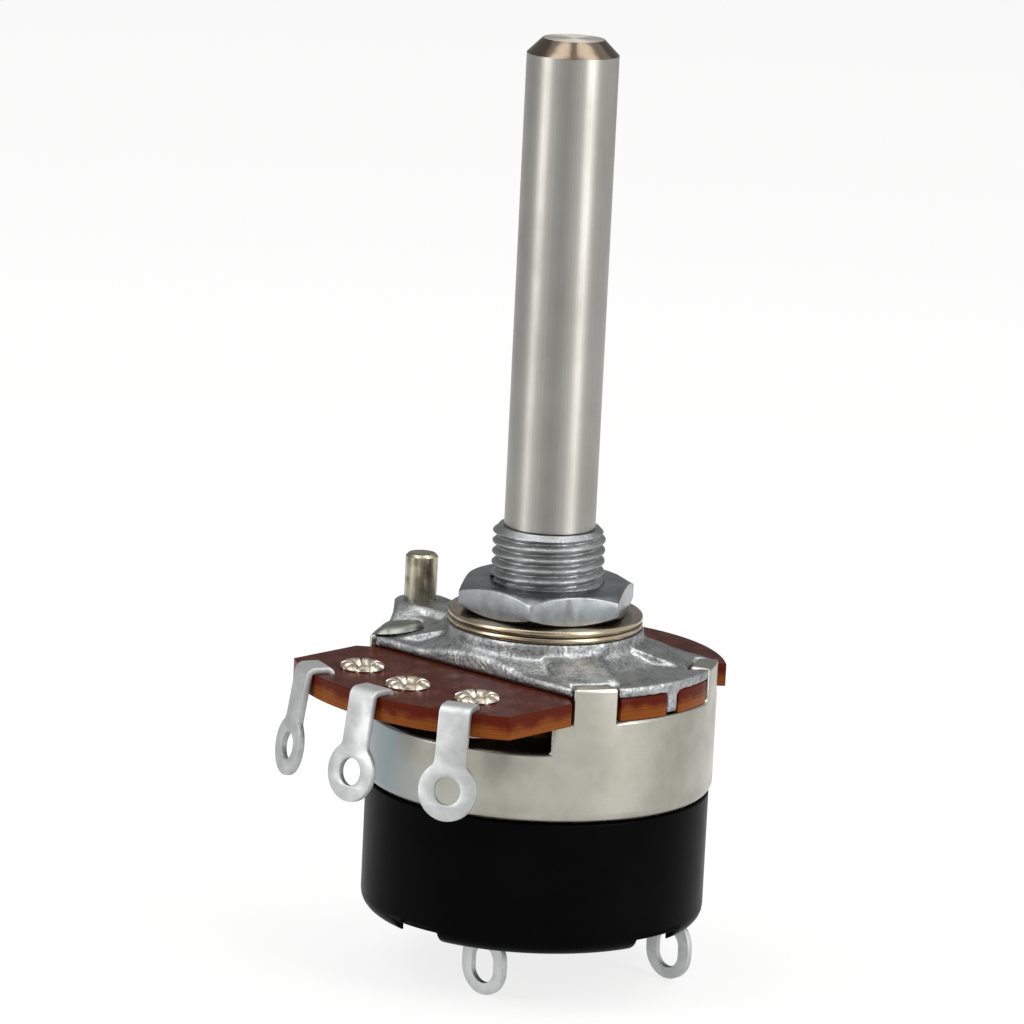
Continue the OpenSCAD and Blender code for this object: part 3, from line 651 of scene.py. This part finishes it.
def stamped_blank(outline: list[tuple[float, float]], holes: list[tuple[float, float]], thickness: float,
                  edge: float, around: int = 40) -> Draft:
    """Makes a flat stamped blank with rounded edges.

    Args:
        outline: Points of the outer edge in the plane.
        holes: Place along y and radius of each hole on the blank's middle line.
        thickness: Thickness of the sheet.
        edge: Round of the edges.
        around: Points round each hole.

    Returns:
        The blank, centred on z = 0.
    """
    curve = bpy.data.curves.new("blank", "CURVE")
    curve.dimensions = "2D"
    curve.fill_mode = "BOTH"
    curve.extrude = thickness / 2 - edge
    curve.bevel_depth = edge
    curve.bevel_resolution = 1
    curve.offset = -edge
    loops = [outline]
    for middle, radius in holes:
        ring = [on_circle(radius, 2 * math.pi * i / around) for i in range(around)]
        loops.append([(x, middle + y) for x, y in ring])
    for loop in loops:
        spline = curve.splines.new("POLY")
        spline.points.add(len(loop) - 1)
        for point, (x, y) in zip(spline.points, loop):
            point.co = (x, y, 0, 1)
        spline.use_cyclic_u = True
    holder = bpy.data.objects.new("blank", curve)
    bpy.context.scene.collection.objects.link(holder)
    mesh = evaluated_mesh(holder)
    bm = bmesh.new()
    bm.from_mesh(mesh)
    bpy.data.objects.remove(holder)
    bpy.data.curves.remove(curve)
    bpy.data.meshes.remove(mesh)
    bmesh.ops.remove_doubles(bm, verts=bm.verts, dist=0.002)
    return bm


def bend_blank(bm: Draft, path: list[Vector]) -> None:
    """Bends a flat blank along a path in the plane of radius and height.

    The blank's y is the length along the path, its x stays across it.

    Args:
        bm: The blank, moved in place to x across, y radius and z height.
        path: Points of radius and height.
    """
    lengths = [0.0]
    for a, b in zip(path, path[1:]):
        lengths.append(lengths[-1] + (b - a).length)
    for at in lengths[1:-1]:
        everything = bm.verts[:] + bm.edges[:] + bm.faces[:]
        bmesh.ops.bisect_plane(bm, geom=everything, plane_co=(0, at, 0), plane_no=(0, 1, 0))
    tangents = [(b - a).normalized() for a, b in zip(path, path[1:])]
    for vert in bm.verts:
        x, along, out = vert.co
        k = max(i for i in range(len(tangents)) if i == 0 or lengths[i] <= along + NEAR_ZERO)
        base = path[k] + tangents[k] * (along - lengths[k])
        share = (along - lengths[k]) / max(lengths[k + 1] - lengths[k], NEAR_ZERO)
        here = tangents[k]
        at_bend = abs(share) < 1e-4
        if at_bend and k > 0:
            here = (tangents[k] + tangents[k - 1]).normalized()
        normal = Vector((-here.y, here.x))
        spot = base + normal * out
        vert.co = (x, -spot.x, spot.y)


@dataclass
class Spindle:
    """The shaft and what turns with it."""

    nodes: tuple[str, ...] = ("shaft", "retaining_clip", "thrust_washer", "rotor", "wiper")

    def build(self) -> None:
        """Dresses the solids of the spindle."""
        dress(self.nodes)


@dataclass
class Toggle:
    """The switch rotor and what it carries."""

    nodes: tuple[str, ...] = ("switch_rotor", "bridge_contact", "detent_spring", "detent_ball")

    def build(self) -> None:
        """Dresses the solids of the toggle."""
        dress(self.nodes)


@dataclass
class CastCover:
    """The die-cast cover with its threaded bushing, and the pin set in its ear."""

    crest: float = 3.925
    bore: float = 2.54
    pitch: float = 0.75
    depth: float = 0.36
    top: float = 6.9
    lead_in: float = 0.42
    split: float = 0.3
    overlap: float = 0.05
    flank: float = 0.42
    root_flat: float = 1.15
    run_out: float = 0.35
    run_out_length: float = 0.2
    voxel: float = 0.15
    rounds: int = 8
    lobe: tuple[float, float, float, float] = (4.2, 1.9, -1.9, -0.62)
    lobe_at: float = -12.0
    rim: float = 12.1
    nodes: tuple[str, ...] = ("locating_pin",)

    def build(self) -> None:
        """Builds the casting with soft cast edges and a cut thread."""
        dress(self.nodes)
        body = self.soft_body()
        self.add_thread(body)
        store(body, "cast_cover", HOUSING, CAST_ZINC, ("cover",))

    def soft_body(self) -> Draft:
        """Rounds the cover below the thread as a casting is.

        Returns:
            The body in millimetres.
        """
        bm = bmesh.new()
        bm.from_mesh(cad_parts["cover"].data)
        bmesh.ops.scale(bm, vec=(1 / MM,) * 3, verts=bm.verts)
        bmesh.ops.remove_doubles(bm, verts=bm.verts, dist=0.001)
        everything = bm.verts[:] + bm.edges[:] + bm.faces[:]
        cut = bmesh.ops.bisect_plane(bm, geom=everything, plane_co=(0, 0, self.split), plane_no=(0, 0, 1),
                                     clear_outer=True, dist=0.0005)
        edges = [e for e in cut["geom_cut"] if isinstance(e, bmesh.types.BMEdge)]
        rims = [e for e in edges if math.hypot(*e.verts[0].co.xy) < self.crest + 0.2]
        bmesh.ops.bridge_loops(bm, edges=rims)
        self.add_lobe(bm)
        holder = mesh_object(bm, "soft_body")
        mesh = holder.data
        remesh = holder.modifiers.new("skin", "REMESH")
        remesh.mode = "VOXEL"
        remesh.voxel_size = self.voxel
        soften = holder.modifiers.new("soften", "SMOOTH")
        soften.factor = 0.5
        soften.iterations = self.rounds
        skin = evaluated_mesh(holder)
        body = bmesh.new()
        body.from_mesh(skin)
        bpy.data.objects.remove(holder)
        bpy.data.meshes.remove(mesh)
        bpy.data.meshes.remove(skin)
        return body

    def add_lobe(self, bm: Draft) -> None:
        """Adds the sloping metal round the pin's ear, kept inside the rim.

        Args:
            bm: The mesh that gets it, in millimetres.
        """
        wide, narrow, low, high = self.lobe
        middle = (low + high) / 2
        made = bmesh.ops.create_cone(bm, cap_ends=True, segments=48, radius1=wide, radius2=narrow,
                                     depth=high - low, matrix=Matrix.Translation((self.lobe_at, 0, middle)))
        for vert in made["verts"]:
            reach = math.hypot(vert.co.x, vert.co.y)
            if reach > self.rim and vert.co.z < middle:
                vert.co.x *= self.rim / reach
                vert.co.y *= self.rim / reach

    def add_thread(self, bm: Draft, around: int = 96, up: int = 132) -> None:
        """Adds the threaded bushing above the boss.

        Args:
            bm: The mesh that gets the bushing.
            around: Points round the thread.
            up: Points up its height.
        """
        low = self.split - self.overlap
        rows = []
        for j in range(up + 1):
            z = low + (self.top - low) * j / up
            fade = min(1.0, max(0.0, (z - self.run_out) / self.run_out_length))
            row = []
            for i in range(around):
                turn = i / around
                phase = (z / self.pitch - turn) % 1.0
                groove = max(0.0, 1.0 - abs(phase - 0.5) / self.flank)
                reach = self.crest - self.depth * min(1.0, groove * self.root_flat) * fade
                reach = min(reach, self.crest - self.lead_in + (self.top - z))
                row.append(bm.verts.new((*on_circle(reach, 2 * math.pi * turn), z)))
            rows.append(row)
        for z in (self.top, low):
            ring = [on_circle(self.bore, 2 * math.pi * i / around) for i in range(around)]
            rows.append([bm.verts.new((x, y, z)) for x, y in ring])
        rows.append(rows[0])
        skin_rows(bm, rows)


@dataclass
class Fastening:
    """The two washers and the nut on the bushing."""

    nodes: tuple[str, ...] = ("lock_washer", "plain_washer", "hex_nut")

    def build(self) -> None:
        """Dresses the fastening."""
        dress(self.nodes)


@dataclass
class ElementBoard:
    """The laminate board with its track, collector, terminals and eyelets."""

    thickness: float = 0.45
    neck: float = 2.2
    eye: float = 2.05
    hole: float = 0.95
    neck_round: float = 0.6
    eyelet_hole: float = 0.93
    strip_start: float = 11.9
    eyelet_at: float = 13.6
    slot_at: float = 16.225
    edge_at: float = 17.875
    under: float = -4.325
    over: float = -2.275
    drop: float = 5.5
    lean: float = 9.0
    bend: float = 0.42
    stamped_edge: float = 0.07
    flare_steps: int = 6
    eye_steps: int = 44
    angles: tuple[tuple[str, float], ...] = (
        ("left_terminal", -23.5), ("wiper_terminal", 0.0), ("right_terminal", 23.5))
    nodes: tuple[str, ...] = ("element_board", "resistive_track", "collector_ring")
    petals: int = 9
    split_half: float = 0.14
    split_dip: float = 0.2
    split_pull: float = 0.08
    split_rise: float = 0.3
    board_top: float = -2.5
    throat: float = 0.6
    eyelet_profile: tuple[tuple[float, float], ...] = (
        (0.5, -4.85), (1.25, -4.9), (1.35, -4.8), (1.35, -4.56), (0.9, -4.55), (0.9, -2.5), (1.5, -2.5),
        (1.55, -2.42), (1.5, -2.25), (1.3, -2.13), (1.05, -2.08), (0.8, -2.14), (0.62, -2.3), (0.52, -2.6))

    def build(self) -> None:
        """Dresses the board and builds terminals and eyelets."""
        dress(self.nodes)
        for node, angle in self.angles:
            self.terminal(node, angle)
        self.eyelets()

    def terminal(self, node: str, angle: float) -> None:
        """Builds one terminal as a stamped strip with real bends.

        Args:
            node: The node that it stands for.
            angle: Its place round the shaft in degrees, counted from -Y.
        """
        tilt = math.radians(self.lean)
        leg = self.drop + self.eye
        corners = [Vector((self.strip_start, self.under)), Vector((self.slot_at, self.under)),
                   Vector((self.slot_at, self.over)), Vector((self.edge_at, self.over)),
                   Vector((self.edge_at + leg * math.sin(tilt), self.over - leg * math.cos(tilt)))]
        path = rounded_path(corners, self.bend)
        length = sum((b - a).length for a, b in zip(path, path[1:]))
        centre = length - self.eye
        half = self.neck / 2
        fillet_x = half + self.neck_round
        fillet_y = math.sqrt((self.eye + self.neck_round) ** 2 - fillet_x ** 2)
        meet = math.atan2(fillet_y, fillet_x)
        bends = [on_circle(self.neck_round, meet * i / self.flare_steps) for i in range(self.flare_steps + 1)]
        flare = [(fillet_x - x, centre - fillet_y + y) for x, y in bends]
        turns = [-meet + (math.pi + 2 * meet) * i / self.eye_steps for i in range(1, self.eye_steps)]
        round_eye = [(self.eye * math.cos(turn), centre + self.eye * math.sin(turn)) for turn in turns]
        outline = [(-half, 0.0), (half, 0.0)] + flare + round_eye + [(-x, y) for x, y in reversed(flare)]
        holes = [(centre, self.hole), (self.eyelet_at - self.strip_start, self.eyelet_hole)]
        bm = stamped_blank(outline, holes, self.thickness, self.stamped_edge)
        bend_blank(bm, path)
        turned = Matrix.Rotation(math.radians(angle), 3, "Z")
        bmesh.ops.rotate(bm, cent=(0, 0, 0), matrix=turned, verts=bm.verts)
        store(bm, node + "_strip", HOUSING, TINNED_BRASS, (node,))

    def eyelets(self) -> None:
        """Builds the three eyelets with rolled and split flanges."""
        bm = bmesh.new()
        for _, angle in self.angles:
            spin = math.radians(angle)
            place = (self.eyelet_at * math.sin(spin), -self.eyelet_at * math.cos(spin))
            rows = [self.eyelet_row(bm, place, radius, z) for radius, z in self.eyelet_profile]
            rows.append(rows[0])
            skin_rows(bm, rows)
        store(bm, "crimped_eyelets", HOUSING, EYELET, ("terminal_eyelets",))

    def eyelet_row(self, bm: Draft, place: tuple[float, float], radius: float, z: float,
                   around: int = 64) -> list[bmesh.types.BMVert]:
        """Adds one ring of an eyelet, dipped at the splits of its crimped top.

        Args:
            bm: The mesh that gets the ring.
            place: The eyelet's middle.
            radius: Radius of the ring.
            z: Its height.
            around: Points round it.

        Returns:
            The points.
        """
        on_top = z > self.board_top and radius > self.throat
        row = []
        for i in range(around):
            turn = 2 * math.pi * i / around
            petal = (turn * self.petals / (2 * math.pi)) % 1.0
            split = max(0.0, 1 - abs(petal - 0.5) / self.split_half)
            dip = self.split_dip * split * min(1.0, (z - self.board_top) / self.split_rise) if on_top else 0.0
            pull = 1.0 - (self.split_pull * split if on_top else 0.0)
            x, y = on_circle(radius * pull, turn)
            row.append(bm.verts.new((place[0] + x, place[1] + y, z - dip)))
        return row


@dataclass
class CaseAndSwitch:
    """The steel case and the black switch housing with its lugs and rivets."""

    nodes: tuple[str, ...] = ("case", "case_rivets", "switch_housing", "front_switch_lug", "rear_switch_lug",
                              "contact_rivets")
    tab_way: float = 210.0
    tab_out: float = 11.85
    tab_reach: float = 3.25
    tab_half: float = 1.6
    tab_low: float = -1.66
    tab_rise: float = 0.45
    tab_thick: float = 0.5
    tab_round_from: float = 0.35
    tab_round: float = 0.4235
    tab_wall: float = 0.3

    def build(self) -> None:
        """Dresses the case and the switch, and presses the tab beside the pin over the casting."""
        dress(self.nodes)
        store(self.pressed_tab(), "pressed_tab", HOUSING, STAKED_TIN)

    def pressed_tab(self, along: int = 28, across: int = 20) -> Draft:
        """Makes the tongue of the tab that the staking tool spread over the casting.

        Args:
            along: Steps from the rim inwards.
            across: Steps across the tongue.

        Returns:
            The tongue in millimetres: round at its end, crowned, and turned down at its rim.
        """
        bm = bmesh.new()
        turn = Matrix.Rotation(math.radians(self.tab_way), 3, "Z")
        for thick in (0.0, self.tab_thick):
            rows = []
            for i in range(along + 1):
                t = i / along
                rounding = max(0.0, t - self.tab_round_from) ** 2 / self.tab_round
                half = self.tab_half * math.sqrt(max(0.0, 1.0 - rounding))
                reach = self.tab_out - self.tab_reach * t
                row = []
                for j in range(across + 1):
                    v = 2.0 * j / across - 1.0
                    crown = (1.0 - v ** 4) * (1.0 - (2.0 * t - 1.0) ** 6)
                    z = self.tab_low + self.tab_rise * t ** 1.5 + thick * crown
                    side = half * v
                    out = math.sqrt(max(reach ** 2 - side ** 2, 0.01)) if t < self.tab_wall else reach
                    row.append(bm.verts.new(turn @ Vector((out, side, z))))
                rows.append(row)
            skin_rows(bm, rows, closed=False)
        bmesh.ops.remove_doubles(bm, verts=bm.verts, dist=0.0005)
        return bm


def dress(nodes: tuple[str, ...]) -> None:
    """Gives solids their finishes and rounds their edges.

    Args:
        nodes: Names of the nodes.
    """
    for node in nodes:
        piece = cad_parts[node]
        piece.data.materials.clear()
        piece.data.materials.append(NODE_FINISHES[node].material())
        if node in EDGE_ROUNDS:
            round_edges(piece, EDGE_ROUNDS[node])
        LOG.info("dressed %s", node)


def turned_pair(first: Vector, second: Vector, turn: float) -> tuple[Vector, Vector]:
    """Turns two directions at right angles in their own plane, the first towards the second."""
    return (first * math.cos(turn) + second * math.sin(turn),
            second * math.cos(turn) - first * math.sin(turn))


@dataclass(frozen=True)
class Card:
    """A grey card that only the part's gloss sees: its angle in degrees, sizes in metres and shade."""

    name: str
    angle: float
    away: float
    width: float
    height: float
    shade: float


@dataclass(frozen=True)
class Lamp:
    """An area lamp: its angle in degrees, sizes in metres and power in watts."""

    name: str
    angle: float
    power: float
    width: float
    height: float
    away: float
    up: float


@dataclass
class Studio:
    """Camera, lamps, floor and background."""

    azimuth: float = 42.0
    elevation: float = 14.87
    distance: float = 420.0
    aim_height: float = -11.3
    yaw: float = -0.367
    pitch: float = 2.535
    roll: float = 2.864
    focal_pixels: float = 6001.5
    image_pixels: float = 1024.0
    sensor: float = 36.0
    floor_height: float = -25.0
    floor_size: float = 3000.0
    floor_glow: float = 0.8
    daylight: float = 0.55
    aim: tuple[float, float, float] = (0, 0, 0.005)
    lamps: tuple[Lamp, ...] = (
        Lamp("strip_0", -66.0, 0.9, 0.12, 0.5, 0.33, 0.12),
        Lamp("strip_1", 52.0, 1.25, 0.13, 0.5, 0.33, 0.12),
        Lamp("soft_box_0", -75.0, 1.5, 0.28, 0.45, 0.3, 0.75),
        Lamp("soft_box_1", 85.0, 1.5, 0.28, 0.45, 0.3, 0.75))
    cards: tuple[Card, ...] = (
        Card("card_behind", 180.0, 0.45, 1.0, 0.55, 0.3), Card("card_left", -115.0, 0.45, 0.5, 0.6, 0.35),
        Card("card_front", -8.0, 0.5, 0.34, 0.6, 0.31))
    card_foot: float = -0.02

    def build(self) -> None:
        """Builds the studio."""
        self.camera()
        self.world()
        self.floor()
        for lamp in self.lamps:
            self.hang(lamp)
        for plan in self.cards:
            self.stand(plan)

    def stand(self, plan: Card) -> None:
        """Stands one grey card beside the part."""
        bm = bmesh.new()
        bmesh.ops.create_grid(bm, x_segments=1, y_segments=1, size=0.5)
        across = self.side(plan.angle + 90)
        for vert in bm.verts:
            up = Vector((0, 0, (vert.co.y + 0.5) * plan.height + self.card_foot))
            vert.co = self.side(plan.angle) * plan.away + across * vert.co.x * plan.width + up
        card = mesh_object(bm, plan.name)
        made = bpy.data.materials.new(plan.name)
        made.use_nodes = True
        tree = made.node_tree
        glow = add(tree, "Emission", None, {"Color": (plan.shade, plan.shade, plan.shade, 1.0)})
        tree.links.new(glow.outputs[0], tree.nodes["Material Output"].inputs["Surface"])
        card.data.materials.append(made)
        card.visible_camera = False
        card.visible_diffuse = False
        card.visible_transmission = False
        card.visible_shadow = False

    def side(self, angle: float) -> Vector:
        """Returns the level direction at an angle to the right of the camera's own, in degrees."""
        turn = math.radians(self.azimuth + angle)
        return Vector((math.sin(turn), -math.cos(turn), 0.0))

    def camera(self) -> None:
        """Places the camera as the photograph's was."""
        up_angle = math.radians(self.elevation)
        height = self.distance * math.sin(up_angle) + self.aim_height
        place = self.side(0) * self.distance * math.cos(up_angle) + Vector((0, 0, height))
        look = (Vector((0, 0, self.aim_height)) - place).normalized()
        right = look.cross(Vector((0, 0, 1))).normalized()
        up = right.cross(look)
        yaw, pitch, roll = (math.radians(a) for a in (self.yaw, self.pitch, self.roll))
        look = look * math.cos(yaw) + right * math.sin(yaw)
        right = look.cross(up).normalized()
        up = right.cross(look)
        look, up = turned_pair(look, up, pitch)
        right, up = turned_pair(right, up, roll)
        data = bpy.data.cameras.new("photo_camera")
        data.sensor_width = self.sensor
        data.lens = self.focal_pixels / self.image_pixels * self.sensor
        data.clip_start = 0.01
        data.clip_end = 10.0
        holder = bpy.data.objects.new("photo_camera", data)
        turn = Matrix((right, up, -look)).transposed().to_4x4()
        holder.matrix_world = Matrix.Translation(place * MM) @ turn
        bpy.context.scene.collection.objects.link(holder)
        bpy.context.scene.camera = holder

    def world(self) -> None:
        """Shows a white background and gives a soft dimmer light."""
        world = bpy.data.worlds.new("studio")
        bpy.context.scene.world = world
        world.use_nodes = True
        tree = world.node_tree
        back = tree.nodes["Background"]
        rays = add(tree, "LightPath").outputs
        seen = maths(tree, "MAXIMUM", rays["Is Camera Ray"], rays["Is Glossy Ray"])
        seen = maths(tree, "MAXIMUM", seen, rays["Is Transmission Ray"])
        tree.links.new(contrast(tree, seen, 0.0, 1.0, self.daylight, 1.0), back.inputs["Strength"])
        back.inputs["Color"].default_value = linear("#FFFFFF")

    def floor(self) -> None:
        """Lays a pale floor that looks white and keeps a soft shadow."""
        bm = bmesh.new()
        bmesh.ops.create_grid(bm, x_segments=8, y_segments=8, size=self.floor_size)
        for vert in bm.verts:
            vert.co.z = self.floor_height
        bmesh.ops.scale(bm, vec=(MM,) * 3, verts=bm.verts)
        plane = mesh_object(bm, "studio_floor")
        made = bpy.data.materials.new("white_paper_floor")
        made.use_nodes = True
        tree = made.node_tree
        shader = tree.nodes["Principled BSDF"]
        shader.inputs["Base Color"].default_value = linear("#F4F4F2")
        shader.inputs["Roughness"].default_value = 0.9
        shader.inputs["Specular IOR Level"].default_value = 0.1
        glow = add(tree, "Emission", None, {"Color": linear("#FFFFFF"), "Strength": 1.0})
        rays = add(tree, "LightPath").outputs
        shown = maths(tree, "MAXIMUM", rays["Is Camera Ray"], rays["Is Glossy Ray"])
        share = times(tree, shown, self.floor_glow)
        mix = add(tree, "MixShader", None, {0: share, 1: shader.outputs[0], 2: glow.outputs[0]})
        tree.links.new(mix.outputs[0], tree.nodes["Material Output"].inputs["Surface"])
        plane.data.materials.append(made)

    def hang(self, lamp: Lamp) -> None:
        """Hangs one area lamp that looks at the part."""
        data = bpy.data.lights.new(lamp.name, "AREA")
        data.shape = "RECTANGLE"
        data.size = lamp.width
        data.size_y = lamp.height
        data.energy = lamp.power
        place = self.side(lamp.angle) * lamp.away + Vector((0, 0, lamp.up))
        holder = bpy.data.objects.new(lamp.name, data)
        holder.location = place
        holder.rotation_euler = (Vector(self.aim) - place).to_track_quat("-Z", "Y").to_euler()
        holder.visible_camera = False
        bpy.context.scene.collection.objects.link(holder)


def main() -> None:
    """Builds the sub-assemblies in order, then the studio."""
    logging.basicConfig(level=logging.INFO, format="%(name)s: %(message)s")
    bpy.context.scene.view_settings.view_transform = "Standard"
    for kind in (Spindle, CastCover, Fastening, ElementBoard, CaseAndSwitch, Toggle, Studio):
        kind().build()
        LOG.info("built %s", kind.__name__)


if __name__ == "__main__":
    main()
